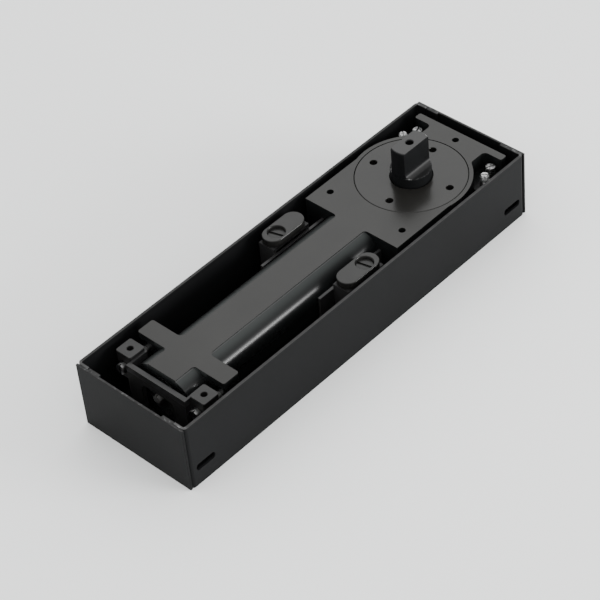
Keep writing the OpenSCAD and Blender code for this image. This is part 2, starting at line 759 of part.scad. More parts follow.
module piston_seal() {
    color([0.85, 0.83, 0.78]) ring_x(crown_x - ring_in - ring_w + seat_gap,
        crown_x - ring_in - seat_gap, bore_r - ring_t + fit_gap, bore_r - run_gap);
}

module check_ball() { color([0.8, 0.8, 0.82]) translate([ball_x, 0, axis_z]) sphere(r = ball_r); }

module check_ball_pin() {
    color([0.7, 0.7, 0.72]) rod_z(axis_z - ball_pin_l / 2, axis_z + ball_pin_l / 2, ball_pin_r, stop_x);
}

// Distance along the spring after t turns: the first and last turns are closed
function coil_rise(t) =
    let (shut = 2 * wire_r + coil_seat, n = coil_turns,
        free = piston_x - plug_in_x - 2 * coil_seat - 2 * wire_r,
        pitch = (free - 2 * shut) / (n - 2))
    t < 1 ? t * shut : t > n - 1 ? free - (n - t) * shut : shut + (t - 1) * pitch;

// One corner of the wire's section on the spring's path
function coil_corner(t, b) =
    let (r = coil_r + wire_r * cos(b), x = coil_rise(t) + wire_r * sin(b))
    [x, r * cos(360 * t), r * sin(360 * t)];

module main_spring() {
    sides = 10;
    per_turn = 22;
    rings = coil_turns * per_turn;
    points = [for (i = [0:rings], j = [0:sides - 1]) coil_corner(i / per_turn, j * 360 / sides)];
    skin = [for (i = [0:rings - 1], j = [0:sides - 1]) let (k = (j + 1) % sides, m = i * sides)
        [m + j, m + k, m + sides + k, m + sides + j]];
    start = [[for (j = [sides - 1:-1:0]) j]];
    finish = [[for (j = [0:sides - 1]) rings * sides + j]];
    color([0.35, 0.37, 0.42]) translate([plug_in_x + coil_seat + wire_r, 0, axis_z])
        polyhedron(points, concat(skin, start, finish));
}

// ---- End plug and regulating valves ----

module end_plug() {
    seal_w = 2.8;
    spanner_hole_r = 1.75;
    color([0.5, 0.51, 0.52]) difference() {
        union() {
            rod_x(plug_x, plug_in_x, bore_r - fit_gap, 0, axis_z);
            rod_x(plug_in_x - bite, plug_in_x + spigot_l, spigot_r, 0, axis_z);
        }
        ring_x(plug_seal_x - seal_w / 2, plug_seal_x + seal_w / 2, bore_r - seal_w * 0.68, bore_r + bite);
        ring_x(port_x - oil_r, port_x + oil_r, bore_r - 1.4 * oil_r, bore_r + bite);
        for (s = [-1, 1]) {
            rod_x(plug_x - bite, plug_x + valve_l + bite / 2, valve_r + fit_gap, s * valve_pitch / 2, axis_z);
            rod_x(plug_x + valve_l, plug_in_x + spigot_l + bite, port_r, s * valve_pitch / 2, axis_z);
            rod_z(axis_z, axis_z + bore_r + bite, port_r, port_x, s * valve_pitch / 2);
            // Two blind holes for the pin spanner
            rod_x(plug_x - bite, plug_x + spanner_h, spanner_hole_r, 0, axis_z + s * bore_r * 0.62);
        }
        ring_x(plug_x - bite, plug_x + rim_cut, bore_r - rim_cut, bore_r + bite);
    }
}

module plug_seal() {
    color([0.06, 0.06, 0.06]) translate([plug_seal_x, 0, axis_z]) rotate([0, 90, 0])
        rotate_extrude() translate([bore_r - plug_seal_r - 0.02, 0]) circle(r = plug_seal_r);
}

// A valve screw along X: slotted head outwards, cone inwards
module valve_screw(out, y) {
    cone_h = 2;
    shank = out + valve_l - cone_h;
    color([0.66, 0.66, 0.64]) translate([plug_x - out, y, axis_z]) rotate([0, 90, 0]) difference() {
        union() {
            cylinder(r = valve_r, h = shank);
            translate([0, 0, shank]) cylinder(r1 = valve_r, r2 = port_r - seat_gap, h = cone_h);
        }
        driver_slot(valve_r, slot_deep, slot_wide, slot_deep);
    }
}

module closing_valve() { valve_screw(valve_out, valve_pitch / 2); }

module latching_valve() { valve_screw(0, -valve_pitch / 2); }

// ---- Near end: yoke, adjuster blocks and their screws ----

module near_yoke() {
    web_x = yoke_x - 2 * bracket_t;
    foot_y = cheek_y - 2.5;
    window_y = 12;
    window_r = 3;
    color([0.24, 0.245, 0.25]) difference() {
        union() {
            box([web_x, -cheek_y, sheet], [yoke_x, cheek_y, yoke_top]);
            box([web_x, -cheek_y, sheet], [block_x1, cheek_y, floor_z]);
            both_sides() box([web_x, cheek_y - bracket_t, sheet], [block_x1, cheek_y, yoke_top]);
            translate([0, 0, sheet]) linear_extrude(bracket_t)
                round_rect(web_x - yoke_foot, web_x + 2 * bite, -foot_y, foot_y, window_r);
        }
        // Window over the end plug's valves
        translate([web_x - bite, 0, 0]) rotate([90, 0, 90]) linear_extrude(2 * (bracket_t + bite))
            round_rect(-window_y, window_y, floor_z + 5, yoke_top - 8, window_r);
        rivet_holes();
    }
}

module adjuster_block(side) {
    y = side * block_y;
    bottom = push_z - 9;
    corner = 1.2;
    color([0.38, 0.39, 0.4]) difference() {
        translate([0, 0, bottom]) linear_extrude(block_top - bottom)
            round_rect(block_x0, block_x1, y - block_w / 2, y + block_w / 2, corner);
        rod_x(block_x0 - bite, block_x1 + bite, screw_r + screw_gap, y, push_z);
        rod_z(push_z, block_top + bite, grub_r, (block_x0 + block_x1) / 2, y);
    }
}

module left_adjuster_block() { adjuster_block(1); }

module right_adjuster_block() { adjuster_block(-1); }

module lengthwise_screws() {
    head_x = block_x0 - 3.6;
    color([0.78, 0.78, 0.76]) both_sides() difference() {
        union() {
            rod_x(head_x, block_x0, push_head_r, block_y, push_z);
            rod_x(block_x0 - bite, -near_bar_x + near_bar_t - 2 * bite, screw_r, block_y, push_z);
        }
        translate([head_x, block_y, push_z]) rotate([0, -90, 0])
            driver_slot(push_head_r, slot_deep, slot_wide, 0);
    }
}

module adjuster_grub_screws() {
    x = (block_x0 + block_x1) / 2;
    z0 = push_z + screw_r + seat_gap;
    grub_l = 3.9;
    color([0.5, 0.5, 0.5]) both_sides() difference() {
        rod_z(z0, z0 + grub_l, grub_r - fit_gap, x, block_y);
        translate([x, block_y, z0 + grub_l / 2]) cylinder(r = grub_r * 0.55, h = grub_l, $fn = 6);
    }
}

// ---- Far end: brackets, height screws and fixing screws ----

module far_bracket() {
    color([0.22, 0.225, 0.23]) difference() {
        union() {
            translate([0, 0, sheet]) linear_extrude(bracket_t)
                round_rect(head_r * 0.62, far_bar_x + bite, tongue_w / 2 + bite,
                    height_y + lug_rim + 0.7, bracket_t * 1.3);
            rod_z(sheet, post_top, post_r, fixing_x, fixing_y);
        }
        rod_z(post_top - fixing_l - 2 * bite, post_top + bite, screw_r + fit_gap, fixing_x, fixing_y);
        rivet_holes();
        rod_z(0, floor_z + bite, height_r + 0.4, height_x, height_y);
    }
}

module left_far_bracket() { far_bracket(); }

module right_far_bracket() { mirror([0, 1, 0]) far_bracket(); }

module height_screws() {
    top = lug_top + 2 * height_r;
    tip_r = height_r + 0.5;
    color([0.8, 0.8, 0.78]) both_sides() translate([height_x, height_y, 0]) difference() {
        union() {
            rod_z(sheet + seat_gap, top, height_r);
            rod_z(top - height_r, top, tip_r);
        }
        rotate([0, 0, 50]) driver_slot(tip_r, slot_deep, slot_wide, top);
    }
}

module fixing_screws() {
    head_h = 4.6;
    collar_h = 1.1;
    color([0.8, 0.8, 0.78]) both_sides() translate([fixing_x, fixing_y, lug_top]) difference() {
        union() {
            rod_z(seat_gap, collar_h, screw_r + 1.2);
            rod_z(collar_h - seat_gap, head_h, screw_r + 0.7);
            rod_z(post_top - lug_top - fixing_l, collar_h, screw_r);
        }
        rotate([0, 0, 25]) driver_slot(screw_r + bite, slot_deep, slot_wide, head_h);
    }
}

// ---- Middle: brackets, clamps and clamp screws ----

// A hat-shaped bracket that lifts a clamp to the rim, with a lip along the closer's body
module clamp_bracket() {
    x0 = -clamp_x - clamp_l / 2;
    x1 = -clamp_x + clamp_l / 2;
    // The lip keeps at least the sheet's thickness where the case leaves little room
    y0 = max(clamp_y - clamp_w / 2 + bite, clamp_lip_y + bracket_t);
    y1 = clamp_y + clamp_w / 2 - bite;
    t = bracket_t + 0.5;
    color([0.2, 0.205, 0.21]) difference() {
        union() {
            box([x0, y0, clamp_plate_z - t], [x1, y1, clamp_plate_z]);
            box([x0, y0, sheet], [x0 + t, y1, clamp_plate_z]);
            box([x1 - t, y0, sheet], [x1, y1, clamp_plate_z]);
            box([x0 - clamp_foot, y0, sheet], [x0 + t, y1, floor_z]);
            box([x1 - t, y0, sheet], [x1 + clamp_foot, y1, floor_z]);
            box([x0 - clamp_foot, clamp_lip_y, sheet], [x1 + clamp_foot, y0 + eps, case_h - lip_drop]);
        }
        rivet_holes();
        children();
    }
}

module clamp_screw_hole(side) {
    rod_z(clamp_plate_z - clamp_screw_l, clamp_plate_z + bite, clamp_r + fit_gap,
        -clamp_x - side * clamp_pivot, clamp_y);
}

module left_clamp_bracket() { clamp_bracket() clamp_screw_hole(1); }

module right_clamp_bracket() { mirror([0, 1, 0]) clamp_bracket() clamp_screw_hole(-1); }

module clamp_plate(side) {
    color([0.42, 0.43, 0.44]) translate([-clamp_x, side * clamp_y, clamp_z]) difference() {
        linear_extrude(clamp_t) obround(clamp_l, clamp_w);
        translate([-side * clamp_pivot, 0, 0]) {
            rod_z(-bite, clamp_t + bite, clamp_r + fit_gap);
            rod_z(clamp_t - clamp_sink, clamp_t + bite, clamp_head_r + 0.9);
        }
    }
}

module left_clamp() { clamp_plate(1); }

module right_clamp() { clamp_plate(-1); }

module clamp_screw(side) {
    head_z = clamp_top - clamp_sink + seat_gap;
    top = clamp_top - 0.7;
    color([0.46, 0.47, 0.48]) translate([-clamp_x - side * clamp_pivot, side * clamp_y, 0]) difference() {
        union() {
            rod_z(head_z, top, clamp_head_r);
            rod_z(clamp_plate_z - clamp_screw_l, head_z + bite, clamp_r);
        }
        rotate([0, 0, 94]) driver_slot(clamp_head_r, slot_deep, slot_wide, top);
    }
}

module left_clamp_screw() { clamp_screw(1); }

module right_clamp_screw() { clamp_screw(-1); }

case_tray();
near_end_plate();
far_end_plate();
floor_rivets();
closer_body();
head_cap();
cap_seal();
upper_bearing();
lower_bearing();
shaft_seal();
end_plug();
plug_seal();
closing_valve();
latching_valve();
spindle_shaft();
heart_cam();
cam_key();
upper_carriage_plate();
lower_carriage_plate();
carriage_pins();
near_roller();
far_roller();
near_roller_pin();
far_roller_pin();
piston();
piston_seal();
check_ball();
check_ball_pin();
main_spring();
near_yoke();
left_adjuster_block();
right_adjuster_block();
lengthwise_screws();
adjuster_grub_screws();
left_far_bracket();
right_far_bracket();
height_screws();
fixing_screws();
left_clamp_bracket();
right_clamp_bracket();
left_clamp();
right_clamp();
left_clamp_screw();
right_clamp_screw();
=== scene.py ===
import json
from math import pi, radians

import bmesh
import bpy
from mathutils import Euler, Matrix, Vector

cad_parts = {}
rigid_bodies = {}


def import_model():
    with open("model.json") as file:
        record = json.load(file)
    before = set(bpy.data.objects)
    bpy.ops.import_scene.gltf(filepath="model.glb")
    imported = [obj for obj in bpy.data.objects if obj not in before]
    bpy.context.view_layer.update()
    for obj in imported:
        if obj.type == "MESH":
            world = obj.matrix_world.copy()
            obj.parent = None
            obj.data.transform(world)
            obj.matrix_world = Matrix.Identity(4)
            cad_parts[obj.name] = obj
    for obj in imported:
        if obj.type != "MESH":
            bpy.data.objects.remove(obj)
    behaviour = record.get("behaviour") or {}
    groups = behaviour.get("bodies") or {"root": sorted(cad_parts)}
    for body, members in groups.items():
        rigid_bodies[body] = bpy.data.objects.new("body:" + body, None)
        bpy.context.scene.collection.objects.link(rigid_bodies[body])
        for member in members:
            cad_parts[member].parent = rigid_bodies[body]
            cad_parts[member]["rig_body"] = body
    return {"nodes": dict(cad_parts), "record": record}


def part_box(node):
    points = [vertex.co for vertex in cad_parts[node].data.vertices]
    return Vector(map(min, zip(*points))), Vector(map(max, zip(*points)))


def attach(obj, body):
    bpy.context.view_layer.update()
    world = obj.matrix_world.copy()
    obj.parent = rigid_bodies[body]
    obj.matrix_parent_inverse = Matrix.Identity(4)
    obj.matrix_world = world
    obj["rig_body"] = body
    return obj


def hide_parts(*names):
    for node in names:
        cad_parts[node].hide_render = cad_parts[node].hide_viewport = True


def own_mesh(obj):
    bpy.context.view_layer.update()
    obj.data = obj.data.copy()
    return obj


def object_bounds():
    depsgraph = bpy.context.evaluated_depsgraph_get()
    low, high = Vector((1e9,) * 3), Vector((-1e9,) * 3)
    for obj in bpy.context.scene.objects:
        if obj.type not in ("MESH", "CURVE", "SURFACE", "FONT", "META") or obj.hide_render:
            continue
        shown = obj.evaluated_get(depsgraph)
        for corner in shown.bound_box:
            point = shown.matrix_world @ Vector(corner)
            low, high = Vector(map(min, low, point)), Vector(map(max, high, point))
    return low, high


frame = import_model()
solid_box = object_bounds()

# The viewpoint: a long lens held high over the case's near right-hand corner and tipped a little,
# so that the case lies slantwise with its spindle end away.
lens = bpy.data.cameras.new("studio_camera")
lens.lens, lens.sensor_width, lens.clip_start, lens.clip_end = 135.7, 36, 0.05, 30
camera = bpy.data.objects.new("studio_camera", lens)
lens_place = (-0.7402, -0.6831, 0.8911)
lens_turn = Euler([radians(turn) for turn in (46.87, 4.455, -47.366)])
camera.matrix_world = Matrix.LocRotScale(lens_place, lens_turn, None)
bpy.context.scene.collection.objects.link(camera)
bpy.context.scene.camera = camera


# The case: one sheet of 1.5 mm steel folded up into a trough, its corners returned behind two
# spot-welded end plates with tabs at the rim. It is sprayed satin black; its rim is painted paler,
# part wear and part painted highlight.
class Wire:
    """A value inside a finish; arithmetic on it adds the Math nodes."""

    def __init__(self, finish, socket):
        self.finish, self.socket = finish, socket

    def sum(self, operation, first, second=0.5):
        return self.finish.node("ShaderNodeMath", {"operation": operation}, {0: first, 1: second})

    def __add__(self, other):
        return self.sum("ADD", self, other)

    def __sub__(self, other):
        return self.sum("SUBTRACT", self, other)

    def __rsub__(self, other):
        return self.sum("SUBTRACT", other, self)

    def __mul__(self, other):
        return self.sum("MULTIPLY", self, other)

    def __pow__(self, other):
        return self.sum("POWER", self, other)

    def __abs__(self):
        return self.sum("ABSOLUTE", self)

    __radd__, __rmul__ = __add__, __mul__


class Finish:
    """The finish of one kind of piece, mixed from nodes; steady values go straight on the shader."""

    def __init__(self, name, owner=None, shader="Principled BSDF", **steady):
        self.material = owner or bpy.data.materials.new(name)
        self.material.use_nodes = True
        self.tree = self.material.node_tree
        self.shader = self.tree.nodes[shader]
        self.fill(self.shader, {k.replace("_", " "): v for k, v in steady.items()})
        self.place = self.node("ShaderNodeTexCoord", output="Object")

    def fill(self, node, values):
        for name, value in values.items():
            if isinstance(value, Wire):
                self.tree.links.new(value.socket, node.inputs[name])
            else:
                node.inputs[name].default_value = value

    def node(self, kind, settings=None, values=None, output=0):
        made = self.tree.nodes.new(kind)
        for name, value in (settings or {}).items():
            setattr(made, name, value)
        self.fill(made, values or {})
        return Wire(self, made.outputs[output])

    def along(self, axis):
        return self.node("ShaderNodeSeparateXYZ", None, {"Vector": self.place}, axis)

    def grain(self, size, detail=3, stretch=(1, 1, 1)):
        """Cloudy variation from 0 to 1 whose marks are about size across, in metres."""
        laid = self.node("ShaderNodeMapping", None, {"Vector": self.place, "Scale": stretch})
        return self.node("ShaderNodeTexNoise", None, {"Vector": laid, "Scale": 1 / size, "Detail": detail})

    def step(self, value, low, high):
        """0 below low, 1 above high, and smooth between."""
        return self.node("ShaderNodeMapRange", {"interpolation_type": "SMOOTHSTEP"},
                         {"Value": value, "From Min": low, "From Max": high})

    def blend(self, share, first, second):
        return self.node("ShaderNodeMix", {"data_type": "RGBA"}, {0: share, 6: first, 7: second}, 2)

    def relief(self, height, depth, over=None):
        values = {"Height": height, "Distance": depth, "Strength": 1.0}
        if over:
            values["Normal"] = over
        return self.node("ShaderNodeBump", None, values)

    def set(self, **varying):
        self.fill(self.shader, {k.replace("_", " "): v for k, v in varying.items()})
        return self


def grey(level, tint=(1, 1, 1)):
    return tuple(level * t for t in tint) + (1,)


def copy_of(*nodes):
    """The solids of these nodes, merged and with their flat faces whole."""
    shape = bmesh.new()
    for node in nodes:
        shape.from_mesh(frame["nodes"][node].data)
    bmesh.ops.remove_doubles(shape, verts=shape.verts, dist=2e-6)
    bmesh.ops.dissolve_limit(shape, angle_limit=radians(0.4), verts=shape.verts, edges=shape.edges)
    return shape


def break_edges(shape, width, angle=35):
    """Rounds the sharp edges, as tumbling, paint or a file leaves them."""
    sharp = [e for e in shape.edges if e.is_manifold and e.calc_face_angle() > radians(angle)]
    bmesh.ops.bevel(shape, geom=sharp, affect="EDGES", offset=width, segments=2, profile=0.5,
                    material=-1, clamp_overlap=True)


def fit(shape, name, finish, slot, *nodes):
    """Makes the shape a piece that stands for these nodes and moves as they do."""
    for face in shape.faces:
        face.smooth = True
    for edge in shape.edges:
        edge.smooth = edge.is_manifold and edge.calc_face_angle() < radians(48)
    mesh = bpy.data.meshes.new(name)
    shape.to_mesh(mesh)
    shape.free()
    piece = bpy.data.objects.new(name, mesh)
    bpy.context.scene.collection.objects.link(piece)
    piece.data.materials.append(finish.material)
    piece.modifiers.new("even_shading", "WEIGHTED_NORMAL").keep_sharp = True
    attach(piece, frame["nodes"][nodes[0]]["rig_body"])
    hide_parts(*nodes)
    return piece


def dress(finish, *nodes):
    """Gives a finish to solids that keep their own shape."""
    for node in nodes:
        frame["nodes"][node].data.materials.clear()
        frame["nodes"][node].data.materials.append(finish.material)


rim_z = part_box("case_tray")[1].z
case_middle = (solid_box[0][0] + solid_box[1][0]) / 2
case_half = (solid_box[1][0] - solid_box[0][0]) / 2
case_black = Finish("satin_black_case_paint", Specular_IOR_Level=0.05)
rubbed = case_black.grain(0.004, 4)
ends = case_black.step(abs(case_black.along("X") - case_middle), case_half - 0.005, case_half - 0.003)
# The rim's top face is painted paler grey: part real wear, part painted highlight where the thin edge
# catches the light
rim_wear_and_highlight = case_black.step(case_black.along("Z"), rim_z - 0.0005, rim_z - 0.0001) \
    * (0.2 + 0.4 * rubbed + 0.6 * ends * rubbed)
chips = ends * case_black.step(case_black.grain(0.0018, 2), 0.58, 0.66)
blotch = case_black.grain(0.045, 3)
peel = case_black.grain(0.0009, 2)
case_black.set(
    Base_Color=case_black.blend(
        rim_wear_and_highlight,
        case_black.blend(blotch, grey(0.005, (0.97, 1, 1)), grey(0.008, (0.98, 1, 1.08))),
        case_black.blend(chips, grey(0.08), grey(0.2))),
    Roughness=0.44 + 0.1 * blotch - 0.06 * peel + 0.1 * rim_wear_and_highlight,
    Normal=case_black.relief(peel, 0.00002),
)
slot_z, slot_cut, slot_wide, wall_y = 0.0125, 0.0032, 0.0046, 0.039
for node in ("case_tray", "near_end_plate", "far_end_plate"):
    sheet = copy_of(node)
    for vert in sheet.verts:
        # The anchor slots are punched a little wide and their edges drawn in by the paint
        rise = vert.co.z - slot_z
        if node == "case_tray" and abs(vert.co.y) > wall_y and abs(rise) < slot_cut / 2 + 0.0001:
            vert.co.z = slot_z + rise * slot_wide / slot_cut
    break_edges(sheet, 0.0002)
    fit(sheet, node + "_folded", case_black, "case_paint", node)

# Eight rivets of soft steel hold the brackets to the case's floor. Their heads are set flat by
# the press and sprayed with the case, so that only their round edges shine.
rivets = copy_of("floor_rivets")
break_edges(rivets, 0.0003)
fit(rivets, "floor_rivets_set", case_black, "case_paint", "floor_rivets")

# The closer's body: one grey iron casting with cylinder, spindle head and cross bars. Its top is
# ground flat, its flanks are as cast, and all of it is sprayed thin dark grey.
body_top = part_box("closer_body")[1].z
body_grey = Finish("dark_sprayed_casting", Specular_IOR_Level=0.07, Coat_Roughness=0.27, Coat_IOR=1.5)
up = body_grey.along("Z")
across = abs(body_grey.along("Y"))
far = body_grey.along("X")
high = body_grey.step(up, body_top - 0.0004, body_top - 0.0002)
flank = 1 - high
# The spray lies glossy on the upper flanks, and thinner on the shoulders and towards the head
gloss = body_grey.step(up, body_top - 0.0166, body_top - 0.0136) \
    * (1 - 0.5 * body_grey.step(up, body_top - 0.005, body_top - 0.0036) * flank) \
    * (1 - 0.75 * body_grey.step(far, -0.14, -0.075) * flank)
# The neck's round shoulders are painted paler up to the pad as painted sheen, with a painted highlight
# along the pad's edge
neck_half, neck_end, pad_half = 0.02, -0.0532, 0.0105
neck = (1 - body_grey.step(across, neck_half - 0.0001, neck_half + 0.0001)) \
    * (1 - body_grey.step(far, neck_end - 0.0005, neck_end))
painted_shoulder_sheen = body_grey.step(up, body_top - 0.004, body_top - 0.0003) * flank * neck
pad_edge_highlight = painted_shoulder_sheen * body_grey.step(across, pad_half + 0.00005, pad_half + 0.0002) \
    * (1 - body_grey.step(across, pad_half + 0.0005, pad_half + 0.0008))
# The pad's low side wall is painted near black as painted shade
pad_wall_shade = body_grey.step(up, body_top - 0.00047, body_top - 0.00044) * flank
cloud = body_grey.grain(0.03, 4)
sand = body_grey.grain(0.0011, 4)
fine = body_grey.grain(0.00035, 2)
ground = body_grey.grain(0.0005, 3, (0.06, 1, 1))
# The flank's colour carries the painted sheen on the shoulders, the painted highlight at the pad's edge and
# the painted shade on the pad's wall
flank_grey_with_painted_light = body_grey.blend(painted_shoulder_sheen * (0.8 + 0.4 * cloud),
                             grey(0.007, (0.9, 1, 1.02)), grey(0.032, (0.9, 1, 0.98)))
flank_grey_with_painted_light = body_grey.blend(pad_wall_shade, body_grey.blend(pad_edge_highlight, flank_grey_with_painted_light, grey(0.05)), grey(0.002))
body_grey.set(
    Base_Color=body_grey.blend(
        high, flank_grey_with_painted_light, body_grey.blend(cloud, grey(0.008, (1.04, 1, 0.9)), grey(0.013, (1.04, 1, 0.9)))),
    Roughness=0.42 + 0.12 * cloud + 0.05 * ground,
    Coat_Weight=gloss * (0.85 + 0.15 * cloud),
    Normal=body_grey.relief(flank * sand * 0.00003 + high * ground * 0.000004 + fine * 0.000003, 1.0),
)
casting = copy_of("closer_body")
break_edges(casting, 0.00035)
fit(casting, "closer_body_casting", body_grey, "body_casting", "closer_body")

# The screwed cap over the cam chamber: turned from steel bar, with four spanner holes drilled
# in its face and an O-ring in its rim. It is sprayed with the body.
cap_grey = Finish("dark_sprayed_turning", Specular_IOR_Level=0.07, Coat_Roughness=0.2, Coat_IOR=1.5)
reach = (cap_grey.along("X") ** 2 + cap_grey.along("Y") ** 2) ** 0.5
turning = cap_grey.node("ShaderNodeMath", {"operation": "SINE"}, {0: reach * (2 * pi / 0.00045)})
cloud = cap_grey.grain(0.025, 4)
fine = cap_grey.grain(0.00035, 2)
cap_grey.set(
    Base_Color=cap_grey.blend(cloud, grey(0.007, (1.04, 1, 0.9)), grey(0.012, (1.04, 1, 0.9))),
    Roughness=0.4 + 0.1 * cloud,
    Coat_Weight=0.9 + 0.1 * cloud,
    Normal=cap_grey.relief(turning * 0.0000012 + fine * 0.000003, 1.0),
)
disc = copy_of("head_cap")
break_edges(disc, 0.0002)
fit(disc, "head_cap_turned", cap_grey, "cap_steel", "head_cap")

# Moulded rubber rings seal the cap's rim and the end plug, and a lipped rubber seal runs on the
# spindle. They are black, slightly bloomed and matt.
rubber = Finish("moulded_seal_rubber", Specular_IOR_Level=0.4)
bloom = rubber.grain(0.0025, 4)
rubber.set(
    Base_Color=rubber.blend(bloom, grey(0.012), grey(0.035)),
    Roughness=0.55 + 0.2 * bloom,
    Normal=rubber.relief(rubber.grain(0.0003, 2), 0.00001),
)
dress(rubber, "cap_seal", "plug_seal", "shaft_seal")

# Bearings, cam, key, rollers and pins are hardened and ground steel that runs in oil: bright,
# with fine grinding lines round the turned faces and a thin film of oil.
bright_steel = Finish("ground_hard_steel", Metallic=1.0)
lines = bright_steel.grain(0.0004, 3, (1, 1, 0.08))
film = bright_steel.grain(0.008, 3)
bright_steel.set(
    Base_Color=bright_steel.blend(film, grey(0.42, (1, 1, 1.02)), grey(0.56, (1, 0.99, 0.96))),
    Roughness=0.2 + 0.12 * lines + 0.1 * film,
    Normal=bright_steel.relief(lines, 0.000006),
)
dress(bright_steel, "upper_bearing", "lower_bearing", "heart_cam", "cam_key", "near_roller", "far_roller",
      "near_roller_pin", "far_roller_pin", "carriage_pins", "check_ball", "check_ball_pin")

# The spindle: a forged steel shaft, blacked, whose top is milled to two flats that run out in an arc on
# the round shoulder. The cut of the run-out is barer, and pale spots along its lower rim are painted
# glints.
shaft_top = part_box("spindle_shaft")[1].z
spindle_black = Finish("blacked_spindle_steel", Specular_IOR_Level=0.05, Coat_Roughness=0.25, Coat_IOR=1.5)
up = spindle_black.along("Z")
out = abs(spindle_black.along("Y"))
reach = (spindle_black.along("X") ** 2 + out ** 2) ** 0.5
shoulder_z, flats_z, flats_y, shoulder_rim = shaft_top - 0.0187, shaft_top - 0.0145, 0.0052, 0.0110
runout = spindle_black.step(up, shoulder_z, shoulder_z + 0.0005) \
    * (1 - spindle_black.step(up, flats_z - 0.0008, flats_z)) \
    * spindle_black.step(out, flats_y, flats_y + 0.0004)
# Pale spots on the run-out's lower rim: painted glints of light
painted_rim_glints = spindle_black.step(spindle_black.grain(0.0012, 2), 0.5, 0.6) * runout \
    * spindle_black.step(reach, shoulder_rim, shoulder_rim + 0.0004) \
    * (1 - spindle_black.step(up, shoulder_z + 0.0006, shoulder_z + 0.001))
top_face = spindle_black.step(up, shaft_top - 0.0005, shaft_top - 0.0002)
mill = spindle_black.grain(0.0006, 3, (0.1, 1, 1))
smoke = spindle_black.grain(0.012, 3)
blacking = spindle_black.blend(smoke, grey(0.004, (0.95, 1, 1.05)), grey(0.008, (0.95, 1, 1.05)))
spindle_black.set(
    Base_Color=spindle_black.blend(
        runout,
        spindle_black.blend(top_face, blacking, grey(0.024)),
        spindle_black.blend(painted_rim_glints, grey(0.026), grey(0.22))),
    Metallic=0.3 * runout,
    Coat_Weight=0.8 * top_face,
    Roughness=0.34 + 0.1 * smoke + 0.06 * mill,
    Normal=spindle_black.relief(mill * 0.000004 + smoke * 0.00001, 1.0),
)
shaft = copy_of("spindle_shaft")
break_edges(shaft, 0.0003)
fit(shaft, "spindle_shaft_milled", spindle_black, "spindle_steel", "spindle_shaft")

# The carriage that hangs between cam and piston: two blanked plates and the ground piston, oiled
# steel whose flat faces keep the rolled skin of the sheet.
carriage_steel = Finish("oiled_carriage_steel", Metallic=1.0)
skin = carriage_steel.grain(0.01, 4, (0.3, 1, 1))
scratch = carriage_steel.grain(0.0005, 3, (0.05, 1, 1))
carriage_steel.set(
    Base_Color=carriage_steel.blend(skin, grey(0.3, (1, 0.99, 0.96)), grey(0.44)),
    Roughness=0.26 + 0.14 * skin + 0.06 * scratch,
    Normal=carriage_steel.relief(scratch, 0.000005),
)
for node in ("upper_carriage_plate", "lower_carriage_plate"):
    blank = copy_of(node)
    break_edges(blank, 0.00025)
    fit(blank, node + "_blanked", carriage_steel, "hard_steel", node)
dress(carriage_steel, "piston")

# The piston's guide ring is a strip of filled white plastic, pressed into the piston's groove and
# wiped grey by the bore.
ring_white = Finish("wiped_guide_ring", Specular_IOR_Level=0.4)
wiped = ring_white.grain(0.003, 4, (0.2, 1, 1))
ring_white.set(
    Base_Color=ring_white.blend(wiped, grey(0.62, (1, 0.97, 0.9)), grey(0.38, (1, 0.97, 0.92))),
    Roughness=0.4 + 0.2 * wiped,
    Normal=ring_white.relief(wiped, 0.00001),
)
dress(ring_white, "piston_seal")

# The main spring is wound from oil-hardened wire with its end turns ground flat: blue-black, with
# lighter rubbed patches. It stands on the end plug, and its other end bears on the piston.
spring_blue = Finish("oil_hardened_wire", Metallic=0.9)
heat = spring_blue.grain(0.006, 4)
spring_blue.set(
    Base_Color=spring_blue.blend(heat, grey(0.06, (0.9, 1, 1.2)), grey(0.16, (1, 1, 1.05))),
    Roughness=0.3 + 0.2 * heat,
    Normal=spring_blue.relief(spring_blue.grain(0.0006, 3), 0.000008),
)
slide = next(j for j in frame["record"]["behaviour"]["joints"] if j["name"] == "carriage_slide")
low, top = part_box("main_spring")
spring = fit(copy_of("main_spring"), "main_spring_wound", spring_blue, "spring_steel", "main_spring")
1 - slide["range_m"][1] / (top.x - low.x)
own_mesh(spring)

# The end plug closes the cylinder's near end and carries the two regulating valves. It is turned
# from steel bar and keeps the grey of machined steel under thin oil.
plug_grey = Finish("machined_plug_steel", Metallic=0.75)
stain = plug_grey.grain(0.006, 4)
tool = plug_grey.grain(0.0005, 3)
plug_grey.set(
    Base_Color=plug_grey.blend(stain, grey(0.09), grey(0.17, (1, 0.99, 0.97))),
    Roughness=0.34 + 0.16 * stain,
    Normal=plug_grey.relief(tool, 0.000008),
)
plug = copy_of("end_plug")
break_edges(plug, 0.0002)
fit(plug, "end_plug_turned", plug_grey, "cap_steel", "end_plug")

# The two regulating valves: small turned screws with a driver slot, plated a dull white so that
# the fitter finds them inside the dark yoke.
valve_white = Finish("dull_plated_valve", Metallic=0.25, Specular_IOR_Level=0.5)
bloom = valve_white.grain(0.0012, 3)
valve_white.set(
    Base_Color=valve_white.blend(bloom, grey(0.24, (1, 1, 0.98)), grey(0.13, (1, 0.99, 0.96))),
    Roughness=0.34 + 0.2 * bloom,
    Normal=valve_white.relief(bloom, 0.00002),
)
valve_head, turned_out = 0.0017, 0.003
for node in ("closing_valve", "latching_valve"):
    valve = copy_of(node)
    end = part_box(node)[0].x
    for vert in valve.verts:
        # The closing valve is set some turns out
        if node == "closing_valve" and vert.co.x < end + valve_head:
            vert.co.x -= turned_out
    break_edges(valve, 0.00015)
    fit(valve, node + "_turned", valve_white, "zinc_steel", node)

